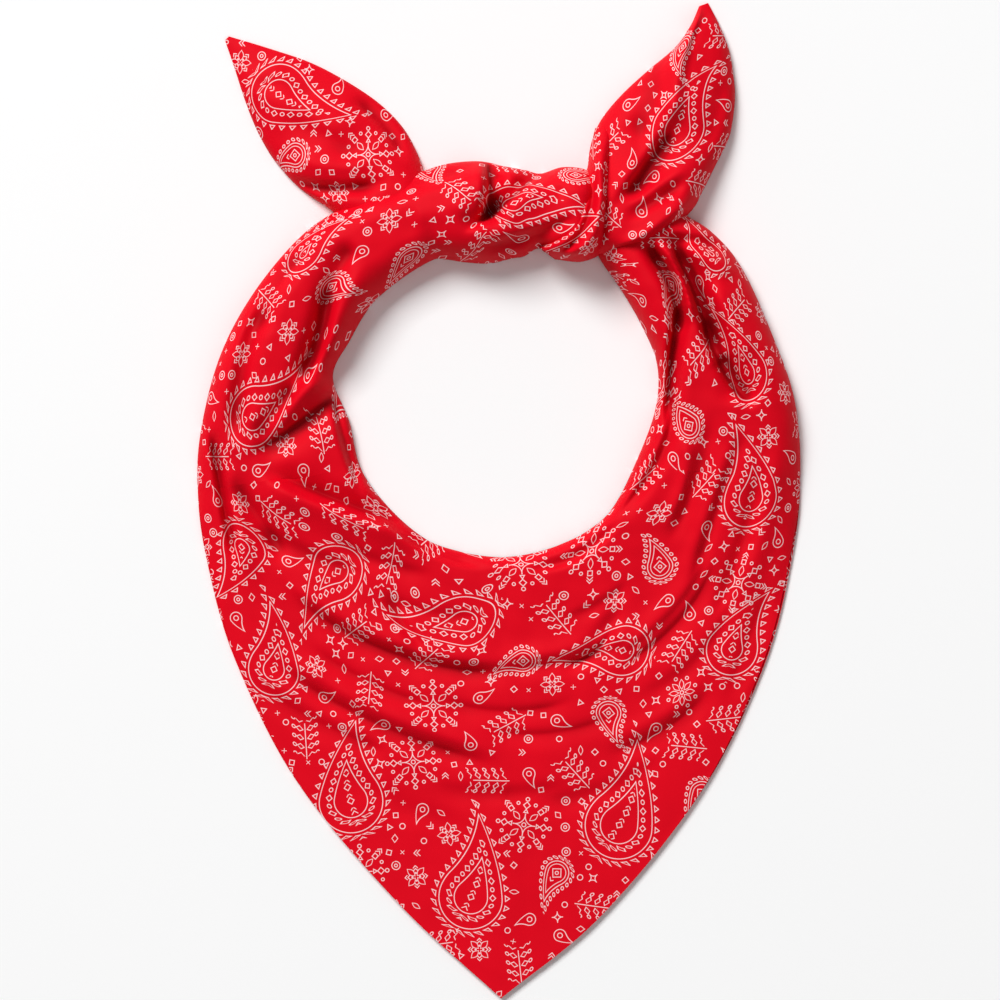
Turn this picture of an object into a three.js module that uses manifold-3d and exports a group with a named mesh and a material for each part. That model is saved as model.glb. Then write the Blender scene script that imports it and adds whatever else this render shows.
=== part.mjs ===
// A square bandana, folded corner to corner, tied in a loop and laid flat on a surface, with its knot and
// the two tails at the top. Millimetres: +X to the right, +Y from the point towards the tails, +Z up from
// the surface. The origin is on the surface, under the middle of the whole outline.

import * as THREE from "three";
import { mergeVertices } from "three/addons/utils/BufferGeometryUtils.js";
import Module from "manifold-3d";

const wasm = await Module();
wasm.setup();

// Thicknesses and clearances
const WALL = 2.0; // the front layer of cloth
const LAYER = 1.5; // the back layer, flat on the surface
const SEAM = 0.3; // between neighbouring pieces
const RIM = 1.6; // the least height of a gathered roll, at its edges
const BACK_INSET = 3.4; // from the neck edge to the start of the back layer
const BACK_PEEK = 1.4; // how far the back layer shows past the front hem, or hides behind it
const DRAPE_LOW = LAYER + SEAM + WALL; // the lowest top of the front layer
const PEEK_WAVES = 1.5; // times it changes between the two along the hem
const CUT_DEPTH = 3; // how far below the surface a cutting piece reaches
const CUT_ROWS = 0.04; // rows by which a cutting piece is longer at each end, for each millimetre it grows
const END_GAP = 0.012; // rows left free at each end of a side, so that it clears its neighbour

// Rows and columns of the meshes
const ACROSS_DRAPE = 40;
const ALONG_DRAPE = 3; // for each row of the table
const ACROSS_BACK = 4;
const ACROSS_SIDE = 28;
const ALONG_SIDE = 7;
const ACROSS_TAIL = 17;
const ALONG_TAIL = 4;
const ACROSS_WRAP = 10;
const CURVE_STEPS = 20; // points along a fold
const CROWDING = 0.11; // how much closer together the columns are near a rounded edge
const NECK_CROWDING = 1.35; // the same for the drape, near the neck only
const FOLD_ENDS = 4; // a fold rises over the first and last of this many parts of its length
const FOLD_HOLD = 1.2; // how soon a fold has its full height next to a rounded edge
const LEAST_SPREAD = 4.5; // what a fold spreads at the least, so that the meshes can follow it
const DEEPEST = 8; // what a crease is deep at the most, for the same reason

const table = (columns, rows) => {
  const names = columns.split(" ");
  return rows.map((row) => Object.fromEntries(names.map((name, i) => [name, row[i]])));
};

// Each strip of cloth runs from its first row to its last. Looking that way, ax, ay is a point on its left
// edge, which is the neck edge of the loop, and bx, by the point across from it. crown is its height, fall
// how fast that sinks towards the b edge, and roundA and roundB how far in from each edge it takes to rise.
const STRIP = "ax ay bx by crown fall roundA roundB";

const LOOP = table(STRIP, [
  [-33.5, 120, -47, 161, 25, 0, 15, 15],
  [-48.5, 111, -73.5, 149, 24, 0, 16, 16],
  [-63.5, 98, -98, 133, 23, 0, 16, 17],
  [-74.5, 80, -122.5, 104, 22, 0, 16, 18],
  [-83, 62, -139.5, 72, 20, 0, 14, 18],
  [-75, 40, -149, 35, 17, 0.1, 11, 16],
  [-69, 16, -150.5, 5, 15, 0.3, 9, 12],
  [-55.5, -3, -145, -30, 13, 0.5, 8, 8],
  [-37, -19, -130.5, -80, 12, 0.8, 7, 4],
  [-19.5, -25.5, -99.5, -142, 11, 1, 7, 3],
  [-4.5, -28, -49.5, -202, 11, 1.2, 7, 2],
  [6.5, -28, 1, -248.7, 11, 1.3, 7, 2],
  [18, -26, 50.5, -208, 11, 1.2, 7, 2],
  [30.5, -22, 100.5, -146, 11, 1, 7, 3],
  [44.5, -15, 131.5, -82, 12, 0.8, 7, 4],
  [56.5, -4, 145.5, -28, 14, 0.5, 8, 7],
  [67.5, 17, 150.5, 10, 17, 0.2, 10, 12],
  [78, 45, 148, 49, 19, 0, 12, 16],
  [79, 68, 136.5, 83, 21, 0, 14, 17],
  [70.5, 89, 121.5, 116, 22, 0, 15, 17],
  [60.5, 106, 106.5, 134, 22, 0, 15, 16],
  [51.5, 119, 88.5, 146, 20, 0, 14, 14],
]);
const POINT_ROW = 11; // the row that ends in the bandana's corner
const DRAPE_FROM = 6; // the front drape's first and last rows
const DRAPE_TO = 16;

const LEFT_TAIL = table(STRIP, [
  [-135, 232, -137, 230, 1, 0, 3, 3],
  [-115, 226, -132.5, 217, 4, 0, 9, 9],
  [-94.5, 219, -128, 203, 6, 0, 15, 15],
  [-77, 210, -124, 192, 8, 0, 20, 18],
  [-60.5, 199, -119, 181, 10, 0, 22, 20],
  [-48.5, 187, -111.5, 169, 12, 0, 22, 20],
  [-41, 174, -99.5, 156, 15, 0, 20, 18],
  [-37, 163, -82.5, 144, 17, 0, 18, 16],
  [-33, 150, -68, 130, 17, 0, 14, 14],
]);

const RIGHT_TAIL = table(STRIP, [
  [104.5, 248.7, 100, 247, 1, 0, 3, 3],
  [110.5, 237, 95.5, 237, 4, 0, 7, 7],
  [115, 225, 87.5, 226, 7, 0, 10, 12],
  [117, 214, 74.5, 215, 9, 0, 12, 14],
  [118, 203, 61.5, 203, 11, 0, 14, 15],
  [117, 191, 51.5, 191, 13, 0, 15, 15],
  [114.5, 180, 46.5, 180, 15, 0, 15, 15],
  [108.5, 168, 44.5, 168, 18, 0, 15, 14],
  [102, 155, 45, 155, 21, 0, 15, 12],
  [95.5, 144, 45, 143, 24, 0, 14, 12],
  [79, 130.5, 45, 134, 24, 0, 9, 12],
  [65, 126, 44, 128, 21, 0, 7, 9],
  [55, 122.5, 43, 124, 14, 0, 6, 6],
]);

const BAND = table(STRIP, [
  [-46.7, 161, -33.2, 119.7, 25, 0, 15, 15],
  [-37, 165, -27, 120.5, 26, 0, 15, 15],
  [-24.5, 168.5, -16.5, 119, 28, 0, 16, 16],
  [-9.5, 169.5, -4.5, 118.5, 29, 0, 16, 16],
  [3, 167, 6.5, 121, 29, 0, 15, 15],
  [13.5, 165, 12.5, 122, 29, 0, 15, 15],
  [21, 163.4, 19.5, 126, 29, 0, 15, 12],
  [32, 166.6, 28, 124, 30, 0, 15, 12],
  [44, 165, 38, 124, 30, 0, 14, 12],
  [51, 158, 46, 130, 20, 0, 12, 12],
]);

const WRAP = table(STRIP, [
  [19.5, 126.5, 28, 120.5, 20, 0, 5, 7],
  [27, 130.5, 42, 119.5, 32, 0, 7, 8],
  [35, 138, 53, 126, 35, 0, 8, 9],
  [40, 149, 55.5, 144, 34, 0, 7, 8],
  [42.5, 159.5, 55.5, 158, 29, 0, 6.5, 6.5],
  [44.5, 168, 56, 167, 25, 0, 6, 6],
  [46, 177, 57, 177, 18, 0, 5, 5],
  [48, 186, 58, 186, 10, 0, 5, 5],
]);

// Each fold is an arc through three points: rise is its height, or its depth if negative, and left and
// right are how far it spreads to each side of its line, looking from its first point to its last.
const FOLD = "x0 y0 x1 y1 x2 y2 rise left right";

const LOOP_FOLDS = table(FOLD, [
  // left side, from the knot down
  [-71, 127, -79, 117, -85, 104, -4.5, 4, 5],
  [-84, 114, -89, 82, -103, 53, -12, 3, 6],
  [-98, 62, -111, 43, -122, 28, -9, 3, 5],
  [-66, 118, -79, 90, -82, 68, 3, 7, 4],
  [-92, 129, -112, 106, -119, 80, -6, 5, 6],
  [-116, 98, -128, 64, -132, 24, -6, 5, 4],
  // the edge that folds over the left side, and the pocket under it
  [-84, 63, -103, 47, -126, 27, 5, 2, 9],
  [-78, 56, -98, 40, -127, 20, -7.5, 8, 2],
  // the strip of the lower layer along the neck
  [-82, 55, -77, 30, -67, 2, -5.5, 4, 2],
  [-60, -6, -36, -24, -4, -33, -3.5, 3.5, 2],
  [14, -33, 40, -27, 62, -6, -3, 3.5, 2.2],
  // the rolled outer edge on the left
  [-144, 36, -139, 6, -131, -36, -7, 4, 1.8],
  [-134, 22, -132, -8, -121, -44, 2.5, 5, 5],
  // the drape's top edge on the left
  [-124, 13, -82, -5, -38, -20, 5, 1.6, 9],
  [-122, 18, -81, 0.5, -38, -14.5, -4.5, 6, 1.6],
  [-136, 10, -120, -8, -106, -34, -4.5, 4, 5],
  [-122, -12, -96, -26, -62, -38, -2.5, 3, 6],
  [-84, -18, -62, -30, -30, -38, -2, 3, 5],
  [-57, -44, -47, -63, -33, -77, -2.2, 2.5, 3],
  // the long folds that hang across the drape, each a ridge above a trough
  [-112, -36, -50, -72, 12, -80, 3.4, 9, 1.6],
  [-111, -42, -51, -77, 13, -85, -3, 1.6, 6],
  [-8, -80, 34, -75, 70, -64, 2, 6, 1.6],
  [-6, -85, 36, -80, 72, -69, -1.6, 1.6, 5],
  [30, -83, 47, -76, 58, -62, -2.6, 1.5, 3],
  [-116, -72, -60, -106, 6, -127, 3, 8, 1.6],
  [-116, -78, -61, -111.5, 5, -132.5, -2.6, 1.6, 6],
  [-126, -83, -90, -105, -52, -121, 2, 5, 1.6],
  [-128, -88, -92, -110, -53, -126, -3, 1.6, 5],
  [-98, -70, -64, -91, -28, -103, -1.8, 1.8, 5],
  [-34, -97, 2, -105, 40, -99, -1.7, 1.8, 5],
  [-12, -113, 26, -116, 62, -105, -1.7, 1.8, 5],
  [-60, -46, -36, -56, -6, -58, -1.6, 3, 5],
  [-36, -142, -2, -146, 40, -142, -1.8, 2.6, 6],
  [16, -150, 50, -145, 84, -128, -1.6, 3, 6],
  [-80, -132, -50, -152, -16, -160, -1.2, 5, 7],
  [30, -60, 50, -52, 66, -40, -1.6, 2.4, 5],
  [52, -80, 84, -55, 104, -24, 1.8, 6, 1.8],
  [56, -86, 90, -60, 109, -28, -2.1, 1.8, 6],
  [50, -119, 79, -110, 104, -88, 1.8, 5, 1.8],
  [52, -125, 82, -115, 108, -92, -2.2, 1.8, 6],
  [66, -98, 98, -80, 118, -48, -1.6, 2.4, 5],
  // right side, from the knot down
  [70, 131, 87, 106, 89, 82, -14, 2.6, 4],
  [90, 98, 86, 70, 84, 34, -11, 4.5, 2.4],
  [87, 52, 80, 22, 56, -12, -4.5, 4, 2],
  [84, 132, 98, 103, 108, 72, -16, 5, 2.8],
  [101, 92, 112, 66, 128, 46, -11, 6, 2.4],
  [77, 131, 91.5, 109, 95, 86, 4.5, 3, 3],
  [104, 110, 116, 88, 126, 66, 3, 5, 5],
  [110, 72, 115, 62, 117, 46, -3, 5, 6],
  [106, 46, 98, 12, 84, -24, -2, 4, 3],
  [92, 36, 92, 10, 80, -16, 2.5, 3, 4],
  [122, 36, 111, 4, 93, -52, -2.2, 4, 2.4],
  [116, 30, 105, 0, 90, -44, 1.6, 4, 4],
  [137, 30, 133, -10, 120, -50, 2.5, 6, 6],
  [130, 20, 122, -20, 104, -64, -2.5, 4, 4],
  [60, -51, 52, -66, 40, -77, -2.5, 4, 4],
  [134, -40, 128, -70, 112, -104, -2, 4, 5],
  // the shoulder and the crease under the right tail
  [77, 130, 96, 129, 116, 125, -5, 3, 4],
  [90, 122, 104, 120, 118, 110, 2.5, 4, 5],
]);

const LEFT_TAIL_FOLDS = table(FOLD, [
  [-107, 161, -84, 155.5, -54, 159, -6, 2.6, 4],
  [-102, 172, -82, 166, -58, 170, 2.5, 6, 4],
  [-130, 216, -100, 196, -66, 178, 3, 10, 12],
  [-74, 202, -58, 188, -46, 168, -4.5, 6, 3],
  [-110, 190, -88, 182, -66, 168, -1.8, 4, 5],
  [-124, 208, -106, 206, -88, 200, -1.5, 4, 5],
]);

const RIGHT_TAIL_FOLDS = table(FOLD, [
  [103, 248, 92, 222, 88, 186, 5, 1.8, 9],
  [90, 202, 79, 180, 50, 142, 5, 1.8, 8],
  [104, 248, 93, 221, 88, 178, 6, 18, 9],
  [84, 186, 75, 168, 60, 148, -7, 6, 2.2],
  [62, 144, 78, 155, 95, 166, 2.5, 2.4, 2.4],
  [62, 139, 78, 149, 95, 160, -4, 3.5, 3],
  [56, 122, 78, 135, 97, 150, 3, 4, 5],
  [66, 194, 72, 178, 64, 162, -2.5, 4, 5],
  [110, 210, 108, 192, 100, 172, -2, 4, 5],
]);

const BAND_FOLDS = table(FOLD, [
  [-8, 178, -4, 155, -9, 136, -14, 7, 2],
  [-12, 170, -9.5, 152, -14, 136, 3.5, 2.4, 8],
  [21, 169, 8, 152.5, -20, 132, -10, 2, 6],
  [27, 162, 11.5, 148, -14, 129, 2.5, 8, 2.4],
  [-10, 125, 14, 131.5, 40, 141, -5, 2, 5],
  [-62, 148, -38, 160, -10, 165, -4, 2.8, 5],
  [-46, 140, -30, 143, -12, 146, 3, 8, 8],
  [20, 166, 24, 156, 36, 152, -2.5, 3, 4],
]);

const WRAP_FOLDS = table(FOLD, [
  [26, 121, 43, 137, 47, 168, -7, 2.2, 2.4],
  [40, 120, 51, 134, 53, 160, -3, 2, 2],
]);

const clamp = (value, low, high) => Math.min(Math.max(value, low), high);
const smooth = (x) => {
  const c = clamp(x, 0, 1);
  return c * c * (3 - 2 * c);
};

// A value of a strip's table between its rows, on a smooth curve through them. The b edge turns a sharp
// corner at the corner row.
function between(rows, column, at, corner) {
  const i = clamp(Math.floor(at), 0, rows.length - 2);
  const u = at - i;
  const p1 = rows[i][column];
  const p2 = rows[i + 1][column];
  const sharp = column === "bx" || column === "by";
  const p0 = i > 0 && !(sharp && i === corner) ? rows[i - 1][column] : 2 * p1 - p2;
  const p3 = i < rows.length - 2 && !(sharp && i + 1 === corner) ? rows[i + 2][column] : 2 * p2 - p1;
  const bend = (2 * p0 - 5 * p1 + 4 * p2 - p3) * u * u + (3 * p1 - p0 - 3 * p2 + p3) * u ** 3;
  return p1 + ((p2 - p0) * u + bend) / 2;
}

// How high or deep a fold is at a point.
function foldAt(fold, x, y) {
  let nearest = { away: Infinity, side: 0, along: 0 };
  const place = (u) => [
    fold.x0 * (1 - u) * (1 - 2 * u) + 4 * fold.x1 * u * (1 - u) + fold.x2 * u * (2 * u - 1),
    fold.y0 * (1 - u) * (1 - 2 * u) + 4 * fold.y1 * u * (1 - u) + fold.y2 * u * (2 * u - 1),
  ];
  for (let k = 0; k < CURVE_STEPS; k++) {
    const [px, py] = place(k / CURVE_STEPS);
    const [qx, qy] = place((k + 1) / CURVE_STEPS);
    const dx = qx - px;
    const dy = qy - py;
    const share = clamp(((x - px) * dx + (y - py) * dy) / (dx * dx + dy * dy), 0, 1);
    const away = Math.hypot(x - px - share * dx, y - py - share * dy);
    if (away < nearest.away) {
      nearest = { away, side: dx * (y - py) - dy * (x - px), along: (k + share) / CURVE_STEPS };
    }
  }
  const spread = Math.max(nearest.side > 0 ? fold.left : fold.right, LEAST_SPREAD);
  const fade = smooth(nearest.along * FOLD_ENDS) * smooth((1 - nearest.along) * FOLD_ENDS);
  return Math.max(fold.rise, -DEEPEST) * fade * Math.exp(-((nearest.away / spread) ** 2));
}

// The rise of a rounded edge at a distance from it.
const edge = (distance, round) => Math.sqrt(1 - (1 - clamp(distance / round, 0, 1)) ** 2);

// The point of a strip at a place along it and a share across it, and the cloth's height there.
function onStrip(strip, along, across, grow = 0) {
  const value = (column) => between(strip.rows, column, along, strip.corner);
  const a = new THREE.Vector2(value("ax"), value("ay"));
  const b = new THREE.Vector2(value("bx"), value("by"));
  const width = a.distanceTo(b);
  const out = b.clone().sub(a).divideScalar(width);
  a.addScaledVector(out, -grow);
  b.addScaledVector(out, grow);
  const { x, y } = a.clone().lerp(b, across);
  const rounding = edge(across * width, value("roundA")) * edge((1 - across) * width, value("roundB"));
  const body = (value("crown") - strip.low) * rounding * (1 - across) ** Math.max(value("fall"), 0);
  const creases = strip.folds.reduce((sum, fold) => sum + foldAt(fold, x, y), 0);
  const height = strip.low + body + creases * Math.min(1, rounding * FOLD_HOLD);
  return { x, y, z: Math.max(height, strip.low) + grow, fromEdge: across * width };
}

// Shares across a strip, closer together near a rounded edge.
const bothEdges = (u) => clamp(u - Math.sin(2 * Math.PI * u) * CROWDING, 0, 1);
const neckEdge = (u) => u ** NECK_CROWDING;

// A closed body between an upper and a lower surface over the same grid of places. A flat lower surface
// is made of few faces: one pair across the strip for each step along it, and a fan at each end.
function slab(alongCount, acrossCount, upper, lower, flat) {
  const points = [];
  const faces = [];
  const grid = (surface) => {
    const start = points.length / 3;
    for (let i = 0; i <= alongCount; i++) {
      for (let j = 0; j <= acrossCount; j++) {
        points.push(...surface(i / alongCount, j / acrossCount));
      }
    }
    return (i, j) => start + i * (acrossCount + 1) + j;
  };
  const top = grid(upper);
  const under = grid(lower);
  const apart = (p, q) => Math.hypot(...[0, 1, 2].map((k) => points[3 * p + k] - points[3 * q + k]));
  const quad = (p, q, r, s) => {
    const split = apart(p, r) <= apart(q, s) ? [p, q, r, p, r, s] : [q, r, s, q, s, p];
    faces.push(...split);
  };
  const [n, m] = [alongCount, acrossCount];
  for (let i = 0; i < n; i++) {
    for (let j = 0; j < m; j++) {
      quad(top(i, j), top(i, j + 1), top(i + 1, j + 1), top(i + 1, j));
      if (!flat) {
        quad(under(i, j), under(i + 1, j), under(i + 1, j + 1), under(i, j + 1));
      }
    }
    if (flat && i > 0 && i < n - 1) {
      quad(under(i, 0), under(i + 1, 0), under(i + 1, m), under(i, m));
    }
    quad(top(i, 0), top(i + 1, 0), under(i + 1, 0), under(i, 0));
    quad(top(i + 1, m), top(i, m), under(i, m), under(i + 1, m));
  }
  for (let j = 0; j < m; j++) {
    quad(top(0, j + 1), top(0, j), under(0, j), under(0, j + 1));
    quad(top(n, j), top(n, j + 1), under(n, j + 1), under(n, j));
    if (flat) {
      faces.push(under(1, 0), under(0, j + 1), under(0, j));
      faces.push(under(n - 1, 0), under(n, j), under(n, j + 1));
    }
  }
  if (flat) {
    faces.push(under(1, 0), under(1, m), under(0, m));
    faces.push(under(n - 1, 0), under(n, m), under(n - 1, m));
  }
  const geometry = new THREE.BufferGeometry();
  geometry.setAttribute("position", new THREE.Float32BufferAttribute(points, 3));
  geometry.setIndex(faces);
  return geometry;
}

// A gathered roll of cloth with a flat underside. grow makes it larger, to cut its neighbours with.
function roll(strip, from, to, alongCount, acrossCount, grow = 0) {
  const longer = grow * CUT_ROWS;
  const spread = (u) => from - longer + (to - from + 2 * longer) * u;
  const upper = (u, v) => {
    const at = onStrip(strip, spread(u), bothEdges(v), grow);
    return [at.x, at.y, at.z];
  };
  const lower = (u, v) => {
    const at = onStrip(strip, spread(u), bothEdges(v), grow);
    return [at.x, at.y, grow ? -CUT_DEPTH : 0];
  };
  return slab(alongCount, acrossCount, upper, lower, true);
}

// The front layer of the drape: a wall that follows the folds and comes down to the surface at the neck.
function frontDrape(loop) {
  const span = (u) => DRAPE_FROM + (DRAPE_TO - DRAPE_FROM) * u;
  const point = (u, v) => onStrip({ ...loop, low: DRAPE_LOW }, span(u), neckEdge(v));
  const top = (at) => (at.fromEdge < SEAM ? WALL : at.z);
  const upper = (u, v) => {
    const at = point(u, v);
    return [at.x, at.y, top(at)];
  };
  const lower = (u, v) => {
    const at = point(u, v);
    return [at.x, at.y, top(at) - WALL];
  };
  return slab((DRAPE_TO - DRAPE_FROM) * ALONG_DRAPE, ACROSS_DRAPE, upper, lower, false);
}

// The back layer of the drape, flat on the surface.
function backDrape(loop) {
  const rows = DRAPE_TO - DRAPE_FROM;
  const place = (u, v) => {
    const along = DRAPE_FROM + rows * u;
    const value = (column) => between(loop.rows, column, along, loop.corner);
    const a = new THREE.Vector2(value("ax"), value("ay"));
    const b = new THREE.Vector2(value("bx"), value("by"));
    const out = b.clone().sub(a).normalize();
    a.addScaledVector(out, BACK_INSET);
    b.addScaledVector(out, BACK_PEEK * Math.sin(2 * Math.PI * PEEK_WAVES * (u - 0.5)));
    return a.lerp(b, v);
  };
  const at = (height) => (u, v) => [place(u, v).x, place(u, v).y, height];
  return slab(rows * ALONG_DRAPE, ACROSS_BACK, at(LAYER), at(0), true);
}

// A geometry as a solid, and a solid as a geometry.
function solid(geometry) {
  const merged = mergeVertices(geometry, 1e-4);
  const vertProperties = new Float32Array(merged.attributes.position.array);
  const triVerts = new Uint32Array(merged.index.array);
  return new wasm.Manifold(new wasm.Mesh({ numProp: 3, vertProperties, triVerts }));
}

function geometryOf(manifold) {
  const mesh = manifold.getMesh();
  const geometry = new THREE.BufferGeometry();
  geometry.setAttribute("position", new THREE.BufferAttribute(mesh.vertProperties, 3));
  geometry.setIndex(new THREE.BufferAttribute(mesh.triVerts, 1));
  return geometry;
}

// The largest body that is left of a piece once its neighbours are cut away.
function cutAway(geometry, ...neighbours) {
  const left = neighbours.reduce((piece, neighbour) => piece.subtract(solid(neighbour)), solid(geometry));
  const bodies = left.decompose().sort((p, q) => q.volume() - p.volume());
  return geometryOf(bodies[0]);
}

const loop = { rows: LOOP, folds: LOOP_FOLDS, corner: POINT_ROW, low: RIM };
const band = { rows: BAND, folds: BAND_FOLDS, corner: -1, low: RIM };
const wrap = { rows: WRAP, folds: WRAP_FOLDS, corner: -1, low: RIM };
const leftTail = { rows: LEFT_TAIL, folds: LEFT_TAIL_FOLDS, corner: -1, low: RIM };
const rightTail = { rows: RIGHT_TAIL, folds: RIGHT_TAIL_FOLDS, corner: -1, low: RIM };
const last = (strip) => strip.rows.length - 1;

const rightRows = last(loop) - DRAPE_TO;
const leftSide = (grow) =>
  roll(loop, END_GAP, DRAPE_FROM - END_GAP, DRAPE_FROM * ALONG_SIDE, ACROSS_SIDE, grow);
const rightSide = () => roll(loop, DRAPE_TO + END_GAP, last(loop), rightRows * ALONG_SIDE, ACROSS_SIDE);
const tailRoll = (strip, grow) => roll(strip, 0, last(strip), last(strip) * ALONG_TAIL, ACROSS_TAIL, grow);
const bandRoll = (grow) => roll(band, END_GAP, last(band), last(band) * ALONG_TAIL, ACROSS_TAIL, grow);
const wrapRoll = (grow) => roll(wrap, 0, last(wrap), last(wrap) * ALONG_TAIL, ACROSS_WRAP, grow);

const pieces = {
  front_drape: frontDrape(loop),
  back_layer: backDrape(loop),
  left_side: leftSide(),
  right_side: cutAway(rightSide(), tailRoll(rightTail, SEAM), wrapRoll(SEAM), bandRoll(SEAM)),
  knot_band: cutAway(bandRoll(), wrapRoll(SEAM)),
  knot_wrap: wrapRoll(),
  left_tail: cutAway(tailRoll(leftTail), leftSide(SEAM), bandRoll(SEAM)),
  right_tail: cutAway(tailRoll(rightTail), wrapRoll(SEAM), bandRoll(SEAM)),
};

const bandana = new THREE.Group();
for (const [name, geometry] of Object.entries(pieces)) {
  const red = new THREE.MeshStandardMaterial({ color: 0xd8001c, roughness: 0.55, metalness: 0 });
  const mesh = new THREE.Mesh(geometry, red);
  mesh.name = name;
  bandana.add(mesh);
}

export default bandana;
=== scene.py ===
"""A red printed bandana, folded corner to corner, tied in a loop and laid flat, as a Blender add-on.

Each stretch of cloth is a grid shaped by a short table of its edges and a table of its folds, in
millimetres, then made a thin shell. Its print is worked out by the material's nodes from three
attributes that give each face its place on the nearest large, middling and small motif, and a fourth
attribute gives painted shade, darkening the cloth's colour in the deep creases.
"""

import math
from collections import namedtuple

import bpy
import numpy as np
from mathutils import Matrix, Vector, kdtree


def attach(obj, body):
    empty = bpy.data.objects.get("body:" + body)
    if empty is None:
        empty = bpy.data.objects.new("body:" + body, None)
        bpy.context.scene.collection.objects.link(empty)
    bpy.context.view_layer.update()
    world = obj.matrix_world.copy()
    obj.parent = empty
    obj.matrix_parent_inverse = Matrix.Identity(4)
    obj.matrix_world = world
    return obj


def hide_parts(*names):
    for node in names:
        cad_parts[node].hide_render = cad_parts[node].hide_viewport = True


bl_info = {
    "name": "Tied bandana",
    "version": (1, 0, 0),
    "blender": (4, 5, 0),
    "location": "View3D > Sidebar > Bandana",
    "description": "Makes a printed bandana, folded, tied and laid flat, and a plain studio",
    "category": "Object",
}

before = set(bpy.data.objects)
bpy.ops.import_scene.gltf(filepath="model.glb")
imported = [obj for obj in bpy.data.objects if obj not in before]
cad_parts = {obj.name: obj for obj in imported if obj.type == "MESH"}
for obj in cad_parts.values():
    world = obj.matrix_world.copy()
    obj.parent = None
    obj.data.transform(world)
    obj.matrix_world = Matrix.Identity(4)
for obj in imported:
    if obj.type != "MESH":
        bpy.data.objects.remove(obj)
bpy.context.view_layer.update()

MM = 0.001

# A strip of cloth runs from its first row to its last. Looking that way, ax, ay is a point on its left edge,
# which is the neck edge of the loop, and bx, by the point across from it. crown is its height, fall how fast
# that sinks towards the b edge, and round_a and round_b how far in from each edge it takes to rise.
Row = namedtuple("Row", "ax ay bx by crown fall round_a round_b")

LOOP = [
    Row(-33.5, 120, -47, 161, 25, 0, 15, 15),
    Row(-48.5, 111, -73.5, 149, 24, 0, 16, 16),
    Row(-63.5, 98, -98, 133, 23, 0, 16, 17),
    Row(-74.5, 80, -122.5, 104, 22, 0, 16, 18),
    Row(-83, 62, -139.5, 72, 20, 0, 14, 18),
    Row(-75, 40, -149, 35, 17, 0.1, 11, 16),
    Row(-69, 16, -150.5, 5, 15, 0.3, 9, 12),
    Row(-55.5, -3, -145, -30, 13, 0.5, 8, 8),
    Row(-37, -19, -130.5, -80, 12, 0.8, 7, 4),
    Row(-19.5, -25.5, -99.5, -142, 11, 1, 7, 3),
    Row(-4.5, -28, -49.5, -202, 11, 1.2, 7, 2),
    Row(6.5, -28, 1, -248.7, 11, 1.3, 7, 2),
    Row(18, -26, 50.5, -208, 11, 1.2, 7, 2),
    Row(30.5, -22, 100.5, -146, 11, 1, 7, 3),
    Row(44.5, -15, 131.5, -82, 12, 0.8, 7, 4),
    Row(56.5, -4, 145.5, -28, 14, 0.5, 8, 7),
    Row(67.5, 17, 150.5, 10, 17, 0.2, 10, 12),
    Row(78, 45, 148, 49, 19, 0, 12, 16),
    Row(79, 68, 136.5, 83, 21, 0, 14, 17),
    Row(70.5, 89, 121.5, 116, 22, 0, 15, 17),
    Row(60.5, 106, 106.5, 134, 22, 0, 15, 16),
    Row(51.5, 119, 88.5, 146, 20, 0, 14, 14),
]
UNDER_KNOT = Row(45, 131, 80, 158, 15, 0, 12, 12)  # the end of the right side, hidden under the knot
POINT_ROW = 11  # the row that ends in the bandana's corner
DRAPE_FROM = 6  # the front drape's first and last rows
DRAPE_TO = 16

LEFT_TAIL = [
    Row(-135, 232, -137, 230, 1, 0, 3, 3),
    Row(-115, 226, -132.5, 217, 4, 0, 9, 9),
    Row(-94.5, 219, -128, 203, 6, 0, 15, 15),
    Row(-77, 210, -124, 192, 8, 0, 20, 18),
    Row(-60.5, 199, -119, 181, 10, 0, 22, 20),
    Row(-48.5, 187, -111.5, 169, 12, 0, 22, 20),
    Row(-41, 174, -99.5, 156, 15, 0, 20, 18),
    Row(-37, 163, -82.5, 144, 17, 0, 18, 16),
    Row(-33, 150, -68, 130, 17, 0, 14, 14),
]

RIGHT_TAIL = [
    Row(104.5, 248.7, 100, 247, 1, 0, 3, 3),
    Row(110.5, 237, 95.5, 237, 4, 0, 7, 7),
    Row(115, 225, 87.5, 226, 7, 0, 10, 12),
    Row(117, 214, 74.5, 215, 9, 0, 12, 14),
    Row(118, 203, 61.5, 203, 11, 0, 14, 15),
    Row(117, 191, 51.5, 191, 13, 0, 15, 15),
    Row(114.5, 180, 46.5, 180, 15, 0, 15, 15),
    Row(108.5, 168, 44.5, 168, 18, 0, 15, 14),
    Row(102, 155, 45, 155, 21, 0, 15, 12),
    Row(95.5, 144, 45, 143, 24, 0, 14, 12),
    Row(79, 130.5, 45, 134, 24, 0, 9, 12),
    Row(65, 126, 44, 128, 21, 0, 7, 9),
    Row(55, 122.5, 43, 124, 14, 0, 6, 6),
]

BAND = [
    Row(-46.7, 161, -33.2, 119.7, 25, 0, 15, 15),
    Row(-37, 165, -27, 120.5, 26, 0, 15, 15),
    Row(-24.5, 168.5, -16.5, 119, 28, 0, 16, 16),
    Row(-9.5, 169.5, -4.5, 118.5, 29, 0, 16, 16),
    Row(3, 167, 6.5, 121, 29, 0, 15, 15),
    Row(13.5, 165, 12.5, 122, 29, 0, 15, 15),
    Row(21, 163.4, 19.5, 126, 29, 0, 15, 12),
    Row(32, 166.6, 28, 124, 30, 0, 15, 12),
    Row(44, 165, 38, 124, 30, 0, 14, 12),
    Row(51, 158, 46, 130, 20, 0, 12, 12),
]

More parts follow.
